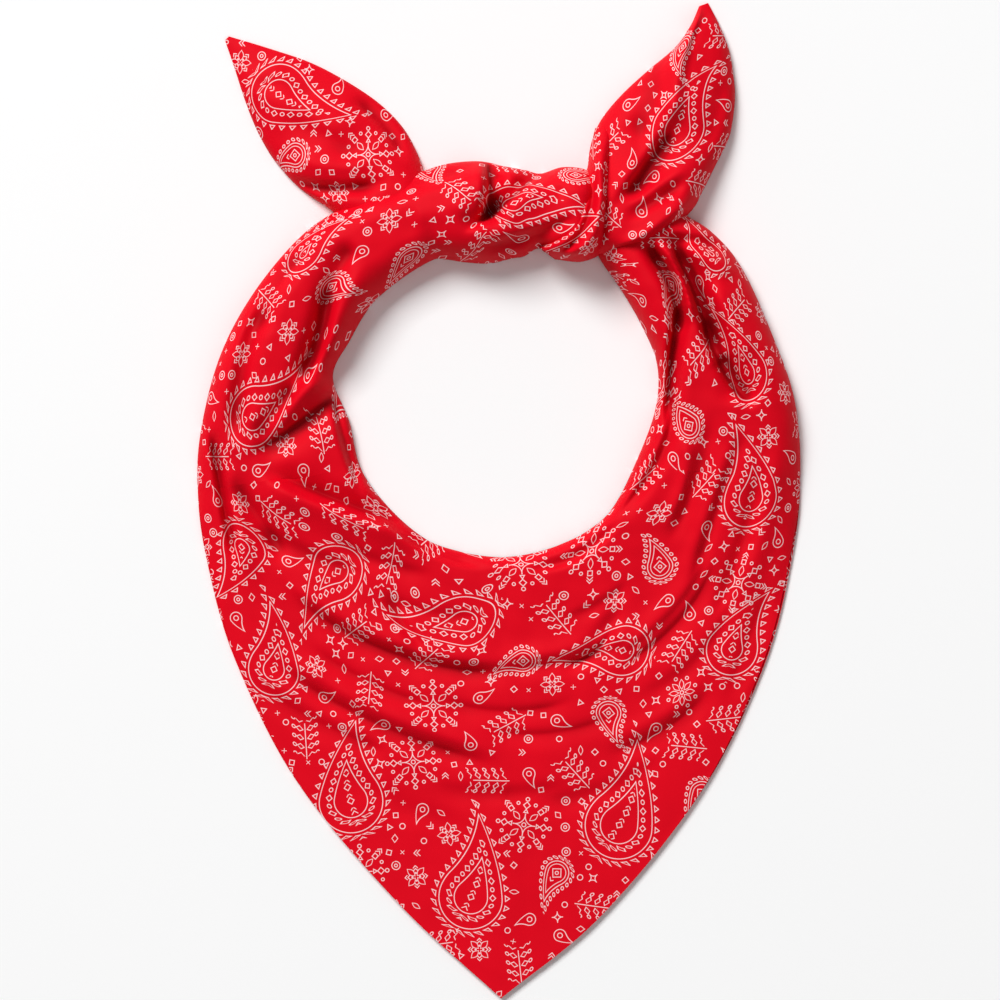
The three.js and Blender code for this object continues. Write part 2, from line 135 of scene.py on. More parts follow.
WRAP = [
    Row(19.5, 126.5, 28, 120.5, 20, 0, 5, 7),
    Row(27, 130.5, 42, 119.5, 32, 0, 7, 8),
    Row(35, 138, 53, 126, 35, 0, 8, 9),
    Row(40, 149, 55.5, 144, 34, 0, 7, 8),
    Row(42.5, 159.5, 55.5, 158, 29, 0, 6.5, 6.5),
    Row(44.5, 168, 56, 167, 25, 0, 6, 6),
    Row(46, 177, 57, 177, 18, 0, 5, 5),
    Row(48, 186, 58, 186, 10, 0, 5, 5),
]

# A fold is an arc through three points. rise is its height, or its depth if negative, and left and right are
# how far it spreads to each side of its line, looking from its first point to its last.
Fold = namedtuple("Fold", "x0 y0 x1 y1 x2 y2 rise left right")

LOOP_FOLDS = [
    # left side, from the knot down
    Fold(-71, 127, -79, 117, -85, 104, -4.5, 4, 5),
    Fold(-84, 114, -89, 82, -103, 53, -12, 3, 6),
    Fold(-98, 62, -111, 43, -122, 28, -9, 3, 5),
    Fold(-66, 118, -79, 90, -82, 68, 3, 7, 4),
    Fold(-92, 129, -112, 106, -119, 80, -6, 5, 6),
    Fold(-116, 98, -128, 64, -132, 24, -6, 5, 4),
    # the edge that folds over the left side, and the pocket under it
    Fold(-84, 63, -103, 47, -126, 27, 5, 2, 9),
    Fold(-78, 56, -98, 40, -127, 20, -7.5, 8, 2),
    # the strip of the lower layer along the neck
    Fold(-82, 55, -77, 30, -67, 2, -5.5, 4, 2),
    Fold(-60, -6, -36, -24, -4, -33, -3.5, 3.5, 2),
    Fold(14, -33, 40, -27, 62, -6, -3, 3.5, 2.2),
    # the rolled outer edge on the left
    Fold(-144, 36, -139, 6, -131, -36, -7, 4, 1.8),
    Fold(-134, 22, -132, -8, -121, -44, 2.5, 5, 5),
    # the drape's top edge on the left
    Fold(-124, 13, -82, -5, -38, -20, 5, 1.6, 9),
    Fold(-122, 18, -81, 0.5, -38, -14.5, -4.5, 6, 1.6),
    Fold(-136, 10, -120, -8, -106, -34, -4.5, 4, 5),
    Fold(-122, -12, -96, -26, -62, -38, -2.5, 3, 6),
    Fold(-84, -18, -62, -30, -30, -38, -2, 3, 5),
    Fold(-57, -44, -47, -63, -33, -77, -2.2, 2.5, 3),
    # the long folds that hang across the drape, each a ridge above a trough
    Fold(-112, -36, -50, -72, 12, -80, 3.4, 9, 1.6),
    Fold(-111, -42, -51, -77, 13, -85, -3, 1.6, 6),
    Fold(-8, -80, 34, -75, 70, -64, 2, 6, 1.6),
    Fold(-6, -85, 36, -80, 72, -69, -1.6, 1.6, 5),
    Fold(30, -83, 47, -76, 58, -62, -2.6, 1.5, 3),
    Fold(-116, -72, -60, -106, 6, -127, 3, 8, 1.6),
    Fold(-116, -78, -61, -111.5, 5, -132.5, -2.6, 1.6, 6),
    Fold(-126, -83, -90, -105, -52, -121, 2, 5, 1.6),
    Fold(-128, -88, -92, -110, -53, -126, -3, 1.6, 5),
    Fold(-98, -70, -64, -91, -28, -103, -1.8, 1.8, 5),
    Fold(-34, -97, 2, -105, 40, -99, -1.7, 1.8, 5),
    Fold(-12, -113, 26, -116, 62, -105, -1.7, 1.8, 5),
    Fold(-60, -46, -36, -56, -6, -58, -1.6, 3, 5),
    Fold(-36, -142, -2, -146, 40, -142, -1.8, 2.6, 6),
    Fold(16, -150, 50, -145, 84, -128, -1.6, 3, 6),
    Fold(-80, -132, -50, -152, -16, -160, -1.2, 5, 7),
    Fold(30, -60, 50, -52, 66, -40, -1.6, 2.4, 5),
    Fold(52, -80, 84, -55, 104, -24, 1.8, 6, 1.8),
    Fold(56, -86, 90, -60, 109, -28, -2.1, 1.8, 6),
    Fold(50, -119, 79, -110, 104, -88, 1.8, 5, 1.8),
    Fold(52, -125, 82, -115, 108, -92, -2.2, 1.8, 6),
    Fold(66, -98, 98, -80, 118, -48, -1.6, 2.4, 5),
    # right side, from the knot down
    Fold(70, 131, 87, 106, 89, 82, -14, 2.6, 4),
    Fold(90, 98, 86, 70, 84, 34, -11, 4.5, 2.4),
    Fold(87, 52, 80, 22, 56, -12, -4.5, 4, 2),
    Fold(84, 132, 98, 103, 108, 72, -16, 5, 2.8),
    Fold(101, 92, 112, 66, 128, 46, -11, 6, 2.4),
    Fold(77, 131, 91.5, 109, 95, 86, 4.5, 3, 3),
    Fold(104, 110, 116, 88, 126, 66, 3, 5, 5),
    Fold(110, 72, 115, 62, 117, 46, -3, 5, 6),
    Fold(106, 46, 98, 12, 84, -24, -2, 4, 3),
    Fold(92, 36, 92, 10, 80, -16, 2.5, 3, 4),
    Fold(122, 36, 111, 4, 93, -52, -2.2, 4, 2.4),
    Fold(116, 30, 105, 0, 90, -44, 1.6, 4, 4),
    Fold(137, 30, 133, -10, 120, -50, 2.5, 6, 6),
    Fold(130, 20, 122, -20, 104, -64, -2.5, 4, 4),
    Fold(60, -51, 52, -66, 40, -77, -2.5, 4, 4),
    Fold(134, -40, 128, -70, 112, -104, -2, 4, 5),
    # the shoulder and the crease under the right tail
    Fold(77, 130, 96, 129, 116, 125, -5, 3, 4),
    Fold(90, 122, 104, 120, 118, 110, 2.5, 4, 5),
]

LEFT_TAIL_FOLDS = [
    Fold(-107, 161, -84, 155.5, -54, 159, -6, 2.6, 4),
    Fold(-102, 172, -82, 166, -58, 170, 2.5, 6, 4),
    Fold(-130, 216, -100, 196, -66, 178, 3, 10, 12),
    Fold(-74, 202, -58, 188, -46, 168, -4.5, 6, 3),
    Fold(-110, 190, -88, 182, -66, 168, -1.8, 4, 5),
    Fold(-124, 208, -106, 206, -88, 200, -1.5, 4, 5),
]

RIGHT_TAIL_FOLDS = [
    Fold(103, 248, 92, 222, 88, 186, 5, 1.8, 9),
    Fold(90, 202, 79, 180, 50, 142, 5, 1.8, 8),
    Fold(104, 248, 93, 221, 88, 178, 6, 18, 9),
    Fold(84, 186, 75, 168, 60, 148, -7, 6, 2.2),
    Fold(62, 144, 78, 155, 95, 166, 2.5, 2.4, 2.4),
    Fold(62, 139, 78, 149, 95, 160, -4, 3.5, 3),
    Fold(56, 122, 78, 135, 97, 150, 3, 4, 5),
    Fold(66, 194, 72, 178, 64, 162, -2.5, 4, 5),
    Fold(110, 210, 108, 192, 100, 172, -2, 4, 5),
]

BAND_FOLDS = [
    Fold(-8, 178, -4, 155, -9, 136, -14, 7, 2),
    Fold(-12, 170, -9.5, 152, -14, 136, 3.5, 2.4, 8),
    Fold(21, 169, 8, 152.5, -20, 132, -10, 2, 6),
    Fold(27, 162, 11.5, 148, -14, 129, 2.5, 8, 2.4),
    Fold(-10, 125, 14, 131.5, 40, 141, -5, 2, 5),
    Fold(-62, 148, -38, 160, -10, 165, -4, 2.8, 5),
    Fold(-46, 140, -30, 143, -12, 146, 3, 8, 8),
    Fold(20, 166, 24, 156, 36, 152, -2.5, 3, 4),
]

WRAP_FOLDS = [
    Fold(26, 121, 43, 137, 47, 168, -7, 2.2, 2.4),
    Fold(40, 120, 51, 134, 53, 160, -3, 2, 2),
]

CURVE_STEPS = 20  # points along a fold
FOLD_ENDS = 4  # a fold rises over the first and last of this many parts of its length
FOLD_HOLD = 1.2  # how soon a fold has its full height next to a rounded edge
SHARP = 2.0  # the spread of a trough that the grid is drawn in for, at the most
DRAW = 0.5  # by what share of the way, at its line
DRAW_REACH = 5  # and how far from it
EDGE_HOLD = 8  # how soon it is drawn in fully, going in from the cloth's edges
EDGE_CROWDING = 0.11  # how much closer together its points are near rounded edges
SMOOTH_BELOW = 55  # degrees between faces that are shaded as one
CRUMPLE = 0.28  # millimetres that handled cloth is uneven by
TUCKED = 1.8  # cloth taken up by a fold, for each millimetre that its slope adds
MOST_TUCKED = 1.1  # and at the most, for each millimetre that it covers
TUCK_EASE = 70  # how many times what is taken up is evened out with the cloth round it
HOLLOW_EASE = 60  # how many times the heights are evened out to find the creases that get painted shade
PAINTED_SHADE_DEPTH = 3.2  # millimetres under the evened heights where a crease's painted shade is darkest

# A large paisley: its round end's centre on the cloth, the way that its tip points in degrees, its round
# end's radius and the side that its tip curls to.
Paisley = namedtuple("Paisley", "x y turn radius curl")
PAISLEY_LENGTH = 2.4  # from the round end's centre to the tip, in radii
PAISLEY_CURL = 0.42

FRONT_PAISLEYS = [
    Paisley(-14, -198, 62, 16, 1),
    Paisley(-74, -150, 108, 16, -1),
    Paisley(60, -162, 56, 17, 1),
    Paisley(-112, -84, 70, 13, 1),
    Paisley(-14, -50, 200, 13, -1),
    Paisley(60, -72, 165, 13, 1),
    Paisley(116, -74, 80, 13, -1),
    Paisley(-78, -34, 215, 13, 1),
    Paisley(118, 2, 80, 14, 1),
    Paisley(-124, -22, 260, 12, -1),
]
SIDE_PAISLEYS = [
    Paisley(8, 137, 20, 13, -1),
    Paisley(-112, 42, 15, 14, 1),
    Paisley(-92, 118, 60, 10, -1),
    Paisley(112, 62, 105, 13, 1),
    Paisley(98, 118, 130, 9, -1),
]
TAIL_PAISLEYS = [
    Paisley(-106, 204, -38, 15, 1),
    Paisley(100, 184, 78, 15, -1),
]
KNOT_PAISLEYS = [Paisley(10, 136, 35, 13, -1)]
LOOP_PAISLEYS = FRONT_PAISLEYS + SIDE_PAISLEYS
LOOP_CLOTH = np.array([(-175, -262), (175, 195)])  # corners of the print that runs on round the loop

# Motifs of middling size, in the order of their kind's number, and the radius that each fills
MIDDLING = {"medallion": 15.0, "leaf": 13.0, "sprig": 10.0, "rosette": 9.0, "flower": 7.5, "drop": 6.5}
MIDDLING_RADII = np.array(list(MIDDLING.values()))
MIDDLING_SHARES = (0.16, 0.1, 0.1, 0.18, 0.24, 0.22)
LARGEST_KINDS = 3  # of them, laid first
LAID_FIRST = 14  # in this part of the places tried
TRIED = 9  # square millimetres of cloth for each place tried
ROUND_LARGE = 3.0  # from a middling motif to a large paisley
ROUND_MIDDLING = 2.2  # and to another middling one
SMALL_ROUND_LARGE = 4.6  # from a small motif's centre to a large paisley
SMALL_ROUND_MIDDLING = 1.6  # and to a middling motif
STRAY = 0.55  # how far the small ones stray from their lattice
ROW_STEP = 0.866  # from one row of that lattice to the next, in spacings
PRINT_MARGIN = 10  # past the cloth on all sides
MIDDLING_LEAN = 0.12  # how uneven the motifs' turns are, in radians
SMALL_LEAN = 0.1
MOST_PIECES = 100  # each print seed has room for this many pieces' own
DROP_RADIUS = 3.0
LEAF_RADIUS = 6.0
BARE_SHARE = 0.33  # of the small motifs' places, left plain
SMALL_KINDS = 9


class ClothSettings(bpy.types.PropertyGroup):
    """The cloth's sizes and colours."""

    thickness: bpy.props.FloatProperty(
        name="Thickness", description="How thick the shell of cloth is",
        default=0.8 * MM, min=0.1 * MM, unit="LENGTH", precision=4,
    )
    red: bpy.props.FloatVectorProperty(
        name="Cloth colour", description="The dyed cloth's colour",
        default=(0.78, 0.0, 0.011), subtype="COLOR", size=3, min=0, max=1,
    )
    ink: bpy.props.FloatVectorProperty(
        name="Print colour", description="The printed lines' colour",
        default=(1.0, 0.74, 0.76), subtype="COLOR", size=3, min=0, max=1,
    )
    line: bpy.props.FloatProperty(
        name="Line width", description="How wide the printed lines are",
        default=0.4 * MM, min=0.1 * MM, unit="LENGTH", precision=4,
    )
    spacing: bpy.props.FloatProperty(
        name="Small motif spacing", description="From one small motif to the next",
        default=7.4 * MM, min=3 * MM, unit="LENGTH", precision=4,
    )
    seed: bpy.props.IntProperty(
        name="Print seed", description="Picks another layout of the small and middling motifs",
        default=7, min=0,
    )
    thread: bpy.props.FloatProperty(
        name="Thread spacing", description="From one thread of the weave to the next",
        default=0.45 * MM, min=0.1 * MM, unit="LENGTH", precision=5,
    )


class StudioSettings(bpy.types.PropertyGroup):
    """The floor, the lights and the camera."""

    floor: bpy.props.FloatVectorProperty(
        name="Floor colour", description="The plain floor's colour",
        default=(0.94, 0.94, 0.94), subtype="COLOR", size=3, min=0, max=1,
    )
    key_power: bpy.props.FloatProperty(
        name="Key light", description="Power of the large soft light above the tails",
        default=515.0, min=0, unit="POWER",
    )
    fill_power: bpy.props.FloatProperty(
        name="Fill light", description="Power of the soft light above the point",
        default=5.0, min=0, unit="POWER",
    )
    sky: bpy.props.FloatProperty(
        name="Surrounding light", description="Strength of the even light from all round",
        default=0.24, min=0,
    )
    lens: bpy.props.FloatProperty(
        name="Lens", description="The camera's focal length in millimetres",
        default=200.0, min=10, unit="CAMERA",
    )
    view_width: bpy.props.FloatProperty(
        name="View width", description="How much of the floor the camera sees from side to side",
        default=500 * MM, min=0.1, unit="LENGTH",
    )


# Shapes

def turned(rows):
    """A strip's rows in the other order, so that its left edge stays on the left."""
    return [
        Row(row.bx, row.by, row.ax, row.ay, row.crown, row.fall, row.round_b, row.round_a)
        for row in reversed(rows)
    ]


Strip = namedtuple("Strip", "rows folds corner low")
loop = Strip(LOOP, LOOP_FOLDS, POINT_ROW, 1.3)
left_side = Strip(turned(BAND[1:]) + LOOP[: DRAPE_FROM + 2], BAND_FOLDS + LOOP_FOLDS, None, 1.3)
right_side = Strip(LOOP[DRAPE_TO - 1 :] + [UNDER_KNOT], LOOP_FOLDS, None, 1.3)
wrap = Strip(WRAP, WRAP_FOLDS, None, 1.3)
left_tail = Strip(LEFT_TAIL, LEFT_TAIL_FOLDS, None, 1.0)
right_tail = Strip(RIGHT_TAIL, RIGHT_TAIL_FOLDS, None, 1.0)

LAYER = 1.5  # the back layer's thickness
HEM_GAP = 0.25  # between the two layers at the hem
THINNEST = 0.2 * MM  # of a shell, and from the back layer's underside to the drape's


def smooth(share):
    """Rises from 0 to 1 with no corner at either end."""
    share = np.clip(share, 0, 1)
    return share * share * (3 - 2 * share)


def between(rows, column, at, corner=None):
    """A column of a strip's table between its rows, on a smooth curve. The b edge may turn one corner."""
    values = np.array([getattr(row, column) for row in rows], dtype=float)
    index = np.clip(np.floor(at).astype(int), 0, len(values) - 2)
    share = at - index
    sharp = corner is not None and column in ("bx", "by")
    here = values[index]
    there = values[index + 1]
    before = values[np.maximum(index - 1, 0)]
    after = values[np.minimum(index + 2, len(values) - 1)]
    no_before = (index == 0) | (sharp & (index == (corner or 0)))
    no_after = (index == len(values) - 2) | (sharp & (index + 1 == (corner or 0)))
    before = np.where(no_before, 2 * here - there, before)
    after = np.where(no_after, 2 * there - here, after)
    bend = (2 * before - 5 * here + 4 * there - after) * share**2
    bend += (3 * here - before - 3 * there + after) * share**3
    return here + ((there - before) * share + bend) / 2


def nearest_on(fold, x, y):
    """The nearest point of a fold's arc to each point, its distance, side and share along the arc."""
    steps = np.linspace(0, 1, CURVE_STEPS + 1)
    first = (1 - steps) * (1 - 2 * steps)
    second = 4 * steps * (1 - steps)
    third = steps * (2 * steps - 1)
    line_x = fold.x0 * first + fold.x1 * second + fold.x2 * third
    line_y = fold.y0 * first + fold.y1 * second + fold.y2 * third
    distance = np.full(x.shape, np.inf)
    near_x = np.zeros(x.shape)
    near_y = np.zeros(x.shape)
    side = np.zeros(x.shape)
    along = np.zeros(x.shape)
    for k in range(CURVE_STEPS):
        dx = line_x[k + 1] - line_x[k]
        dy = line_y[k + 1] - line_y[k]
        share = np.clip(((x - line_x[k]) * dx + (y - line_y[k]) * dy) / (dx * dx + dy * dy), 0, 1)
        at_x = line_x[k] + share * dx
        at_y = line_y[k] + share * dy
        away = np.hypot(x - at_x, y - at_y)
        closer = away < distance
        distance = np.where(closer, away, distance)
        near_x = np.where(closer, at_x, near_x)
        near_y = np.where(closer, at_y, near_y)
        side = np.where(closer, dx * (y - line_y[k]) - dy * (x - line_x[k]), side)
        along = np.where(closer, (k + share) / CURVE_STEPS, along)
    return near_x, near_y, distance, side, along


def fold_fade(along):
    """A fold's strength along it: nothing at its ends."""
    return smooth(along * FOLD_ENDS) * smooth((1 - along) * FOLD_ENDS)


def fold_height(fold, x, y):
    """How high or deep a fold is at each point."""
    _, _, distance, side, along = nearest_on(fold, x, y)
    spread = np.where(side > 0, fold.left, fold.right)
    return fold.rise * fold_fade(along) * np.exp(-((distance / spread) ** 2))


def drawn_in(strip, x, y):
    """A grid's places moved towards the steep side of each sharp trough, where it needs the most faces."""
    moved_x = x.copy()
    moved_y = y.copy()
    for fold in strip.folds:
        if fold.rise > 0 or min(fold.left, fold.right) > SHARP:
            continue
        near_x, near_y, distance, _, along = nearest_on(fold, moved_x, moved_y)
        pull = DRAW * fold_fade(along) * np.exp(-((distance / DRAW_REACH) ** 2))
        moved_x += (near_x - moved_x) * pull
        moved_y += (near_y - moved_y) * pull
    return moved_x, moved_y


def crumple(x, y):
    """Shallow unevenness of cloth that has been handled: bent waves, with their lengths in millimetres."""
    bent_x = x + 5 * np.sin(y / 17 + 1)
    bent_y = y + 6 * np.sin(x / 23)
    broad = np.sin(bent_x / 6.1) * np.sin(bent_y / 8.3 + 0.7)
    fine = np.sin((bent_x + bent_y) / 3.7) * np.sin((bent_x - 1.4 * bent_y) / 5.3)
    return CRUMPLE * (broad + 0.5 * fine)


def rounded(distance, reach):
    """The rise of a rounded edge at a distance from it."""
    return np.sqrt(1 - (1 - np.clip(distance / reach, 0, 1)) ** 2)


def eased(height):
    """A grid of heights with the smallest corners taken off."""
    for axis in (0, 1):
        before = np.roll(height, 1, axis)
        after = np.roll(height, -1, axis)
        inner = [slice(None), slice(None)]
        inner[axis] = slice(1, -1)
        height = height.copy()
        height[tuple(inner)] = ((before + 2 * height + after) / 4)[tuple(inner)]
    return height


def on_strip(strip, along, across, low):
    """The points of a strip at places along it and shares across it, as three arrays in millimetres."""

    def value(column):
        return between(strip.rows, column, along, strip.corner)

    x = value("ax") + (value("bx") - value("ax")) * across
    y = value("ay") + (value("by") - value("ay")) * across
    width = np.hypot(value("bx") - value("ax"), value("by") - value("ay"))
    moved_x, moved_y = drawn_in(strip, x, y)
    inner = np.minimum(1, EDGE_HOLD * across * (1 - across))
    x = x + (moved_x - x) * inner
    y = y + (moved_y - y) * inner
    rounding = rounded(across * width, value("round_a")) * rounded((1 - across) * width, value("round_b"))
    body = (value("crown") - low) * rounding * (1 - across) ** np.maximum(value("fall"), 0)
    creases = sum(fold_height(fold, x, y) for fold in strip.folds) + crumple(x, y)
    height = low + body + creases * np.minimum(1, rounding * FOLD_HOLD)
    return x, y, eased(eased(np.maximum(height, low)))


def grid_places(first, last, along_count, across_count, crowding, power):
    """Places along and shares across for a grid's points, closer together near the rounded edges."""
    along = np.linspace(first, last, along_count + 1)
    share = np.linspace(0, 1, across_count + 1)
    share = np.clip(share - np.sin(2 * np.pi * share) * crowding, 0, 1) ** power
    return np.meshgrid(along, share, indexing="ij")


def on_cloth(points):
    """Each point's place on the flat cloth, which a fold takes up more of than it covers."""
    step = np.diff(points, axis=1)
    covered = np.hypot(step[..., 0], step[..., 1])
    taken = np.minimum((np.linalg.norm(step, axis=2) - covered) * TUCKED, covered * MOST_TUCKED)
    extra = np.zeros(points.shape[:2])
    extra[:, :-1] = np.cumsum(taken[:, ::-1], axis=1)[:, ::-1]
    for _ in range(TUCK_EASE):
        extra = eased(extra)
    towards = points[:, 0, :2] - points[:, -1, :2]
    towards = towards / np.linalg.norm(towards, axis=1, keepdims=True)
    return points[..., :2] + extra[..., None] * towards[:, None, :]


def painted_shade_mask(points):
    """How far each point is down in a crease, 0 to 1, which the material uses to paint shade into the
    cloth's colour.
    """
    broad = points[..., 2]
    for _ in range(HOLLOW_EASE):
        broad = eased(broad)
    return smooth((broad - points[..., 2]) / PAINTED_SHADE_DEPTH)


def deselect_all():
    """Leaves nothing selected."""
    bpy.ops.object.select_all(action="DESELECT")


def new_grid(name, along_count, across_count):
    """A selected grid of faces, ready to be shaped."""
    deselect_all()
    bpy.ops.mesh.primitive_grid_add(x_subdivisions=along_count, y_subdivisions=across_count, size=1)
    obj = bpy.context.object
    obj.name = name
    obj.data.name = name
    return obj


def shape_grid(obj, points):
    """Moves a grid's points to their places. A new grid's points run along it first, then across."""
    along_first = points.transpose(1, 0, 2).reshape(-1, 3) * MM
    obj.data.vertices.foreach_set("co", along_first.ravel())
    obj.data.update()


def make_shell(obj, thickness):
    """Gives a shaped grid its thickness, downwards."""
    solidify = obj.modifiers.new("Thickness", "SOLIDIFY")
    solidify.thickness = thickness
    solidify.offset = -1
    bpy.ops.object.modifier_apply(modifier=solidify.name)


def vertex_places(obj):
    """A mesh's points, as an array."""
    places = np.empty(len(obj.data.vertices) * 3)
    obj.data.vertices.foreach_get("co", places)
    return places.reshape(-1, 3)


def lay_flat(obj, lowest, under):
    """Rests a shell's lower side on the surface where under is 1, and keeps it above lowest elsewhere."""
    places = vertex_places(obj)
    half = len(places) // 2
    top = places[:half]
    lower = places[half:]
    lower[:, :2] = top[:, :2]
    hung = np.maximum(lower[:, 2], lowest)
    lower[:, 2] = np.minimum(hung * (1 - under), top[:, 2] - THINNEST)
    obj.data.vertices.foreach_set("co", places.ravel())
    obj.data.update()


# Print layout


def paisley_distance(x, y, paisley):
    """How far points are outside a large paisley's outline, as the material draws it."""
    turn = math.radians(paisley.turn)
    p = (x - paisley.x) * math.cos(turn) + (y - paisley.y) * math.sin(turn)
    q = ((y - paisley.y) * math.cos(turn) - (x - paisley.x) * math.sin(turn)) * paisley.curl
    radius = paisley.radius
    length = radius * PAISLEY_LENGTH
    q = np.abs(q - np.maximum(p, 0) ** 2 * PAISLEY_CURL / length)
    lean = 1 / PAISLEY_LENGTH
    stand = math.sqrt(1 - lean * lean)
    round_end = np.hypot(p, q) - radius
    side = stand * q + lean * p - radius
    past_tip = np.hypot(p - length, q)
    on_side = stand * p - lean * q
    return np.where(on_side < 0, round_end, np.where(on_side > stand * length, past_tip, side))


Layout = namedtuple("Layout", "paisleys middling small")


def loose_turns(random, count, spread):
    """Turns by eighths of a circle, not quite even."""
    return random.integers(0, 8, count) * math.pi / 4 + random.normal(0, spread, count)


def middling_places(random, low, high, paisleys):
    """Middling motifs round the large paisleys: each one's x, y, kind and turn."""
    tries = int(np.prod(high - low) / TRIED)
    places = random.uniform(low, high, (tries, 2))
    kinds = random.choice(len(MIDDLING), tries, p=MIDDLING_SHARES)
    first = tries // LAID_FIRST
    kinds[:first] = np.arange(first) % LARGEST_KINDS
    turns = loose_turns(random, tries, MIDDLING_LEAN)
    radii = MIDDLING_RADII[kinds]
    outside = np.min([paisley_distance(*places.T, one) for one in paisleys], axis=0)
    middling = np.empty((0, 4))
    for k in np.flatnonzero(outside >= radii + ROUND_LARGE):
        away = np.hypot(*(middling[:, :2] - places[k]).T)
        if np.all(away >= radii[k] + MIDDLING_RADII[middling[:, 2].astype(int)] + ROUND_MIDDLING):
            middling = np.vstack([middling, (*places[k], kinds[k], turns[k])])
    return middling


def small_places(random, low, high, paisleys, middling, spacing):
    """Small motifs on a loose lattice in what is left: each one's x, y, kind and turn."""
    across = np.arange(low[0], high[0], spacing)
    up = np.arange(low[1], high[1], spacing * ROW_STEP)
    x = (across[None, :] + (np.arange(len(up)) % 2)[:, None] * spacing / 2).ravel()
    y = np.repeat(up, len(across))
    count = len(x)
    x = x + random.normal(0, STRAY, count)
    y = y + random.normal(0, STRAY, count)
    free = np.ones(count, bool)
    for one in paisleys:
        free &= paisley_distance(x, y, one) > SMALL_ROUND_LARGE
    for at_x, at_y, kind, _ in middling:
        free &= np.hypot(x - at_x, y - at_y) > MIDDLING_RADII[int(kind)] + SMALL_ROUND_MIDDLING
    free &= random.random(count) > BARE_SHARE
    kinds = random.integers(0, SMALL_KINDS, count)
    return np.stack([x, y, kinds, loose_turns(random, count, SMALL_LEAN)], axis=1)[free]


def scatter(cloth, paisleys, settings, seed):
    """The print's layout for cloth that holds all of these points."""
    random = np.random.default_rng(settings.seed * MOST_PIECES + seed)
    low = cloth.min(axis=0) - PRINT_MARGIN
    high = cloth.max(axis=0) + PRINT_MARGIN
    middling = middling_places(random, low, high, paisleys)
    small = small_places(random, low, high, paisleys, middling, settings.spacing / MM)
    return Layout(paisleys, middling, small)


def nearest_middling(centres, middling):
    """Which middling motif's edge is nearest to each point."""
    best = np.full(len(centres), np.inf)
    chosen = np.zeros(len(centres), dtype=int)
    for k, (x, y, kind, _) in enumerate(middling):
        away = np.hypot(centres[:, 0] - x, centres[:, 1] - y) - MIDDLING_RADII[int(kind)]
        closer = away < best
        best = np.where(closer, away, best)
        chosen = np.where(closer, k, chosen)
    return chosen


def nearest_small(centres, small):
    """Which small motif's centre is nearest to each point."""
    tree = kdtree.KDTree(len(small))
    for k, (x, y, _, _) in enumerate(small):
        tree.insert((x, y, 0), k)
    tree.balance()
    return np.array([tree.find((x, y, 0))[1] for x, y in centres])


def write_places(mesh, name, places, motifs, third, curls=1):
    """Stores each face corner's place as seen from its motif, turned with it, and a third number.

    motifs holds each corner's motif: its x, y and turn.
    """
    motif_x, motif_y, turns = motifs
    offset_x = places[:, 0] - motif_x
    offset_y = places[:, 1] - motif_y
    p = offset_x * np.cos(turns) + offset_y * np.sin(turns)
    q = offset_y * np.cos(turns) - offset_x * np.sin(turns)
    attribute = mesh.attributes.new(name, "FLOAT_VECTOR", "CORNER")
    attribute.data.foreach_set("vector", np.stack([p, q * curls, third], axis=1).ravel().astype(np.float32))


def numbers_of(items, name):
    """One whole number of each of a mesh's items, as an array."""
    values = np.empty(len(items), dtype=np.int32)
    items.foreach_get(name, values)
    return values


def print_on(obj, points, cloth, layout):
    """Stores the creases' painted shade, and each face corner's place on the nearest large, middling and
    small motif.
    """
    mesh = obj.data
    # painted shade: how far down in a crease each point is, for the material to darken the cloth's colour by
    painted_crease_shade = mesh.attributes.new("painted_crease_shade", "FLOAT", "POINT")
    painted_crease_shade.data.foreach_set("value", np.tile(painted_shade_mask(points).T.ravel(), 2).astype(np.float32))
    totals = numbers_of(mesh.polygons, "loop_total")
    places = np.tile(cloth, (2, 1))[numbers_of(mesh.loops, "vertex_index")]
    centres = np.add.reduceat(places, numbers_of(mesh.polygons, "loop_start"), axis=0) / totals[:, None]
    uv = mesh.uv_layers.active or mesh.uv_layers.new(name="cloth")
    uv.name = "cloth"
    uv.data.foreach_set("uv", (places * MM).ravel())

    outside = np.array([paisley_distance(*centres.T, one) for one in layout.paisleys])
    large = np.array(layout.paisleys, dtype=float)
    x, y, turn, radius, curl = large[np.repeat(outside.argmin(axis=0), totals)].T
    write_places(mesh, "large", places, (x, y, np.radians(turn)), radius, curl)
    x, y, kind, turn = layout.middling[np.repeat(nearest_middling(centres, layout.middling), totals)].T
    write_places(mesh, "middling", places, (x, y, turn), kind)
    x, y, kind, turn = layout.small[np.repeat(nearest_small(centres, layout.small), totals)].T
    write_places(mesh, "small", places, (x, y, turn), kind)


# Material


class Number:
    """A number that a material's nodes work out, used in a formula like a plain one."""

    def __init__(self, tree, socket):
        self.tree = tree
        self.socket = socket

    def worked(self, operation, *others, clamp=False):
        """The result of a Math node on this number and others."""
        node = self.tree.nodes.new("ShaderNodeMath")
        node.operation = operation
        node.use_clamp = clamp
        for slot, value in zip(node.inputs, (self, *others)):
            if isinstance(value, Number):
                self.tree.links.new(value.socket, slot)
            else:
                slot.default_value = value
        return Number(self.tree, node.outputs[0])

    def __add__(self, other):
        return self.worked("ADD", other)

    def __sub__(self, other):
        return self.worked("SUBTRACT", other)

    def __rsub__(self, other):
        return self.worked("MULTIPLY_ADD", -1.0, other)

    def __mul__(self, other):
        return self.worked("MULTIPLY", other)

    def __truediv__(self, other):
        return self.worked("DIVIDE", other)

    def __abs__(self):
        return self.worked("ABSOLUTE")

    def larger(self, other):
        """The larger of two numbers."""
        return self.worked("MAXIMUM", other)

    def below(self, other):
        """1 where this number is the smaller, or else 0."""
        return self.worked("LESS_THAN", other)

    def is_near(self, other):
        """1 where this number is within half of another, or else 0."""
        return self.worked("COMPARE", other, 0.5)


def reach(p, q):
    """The distance of p, q from the origin."""
    return (p * p + q * q).worked("SQRT")


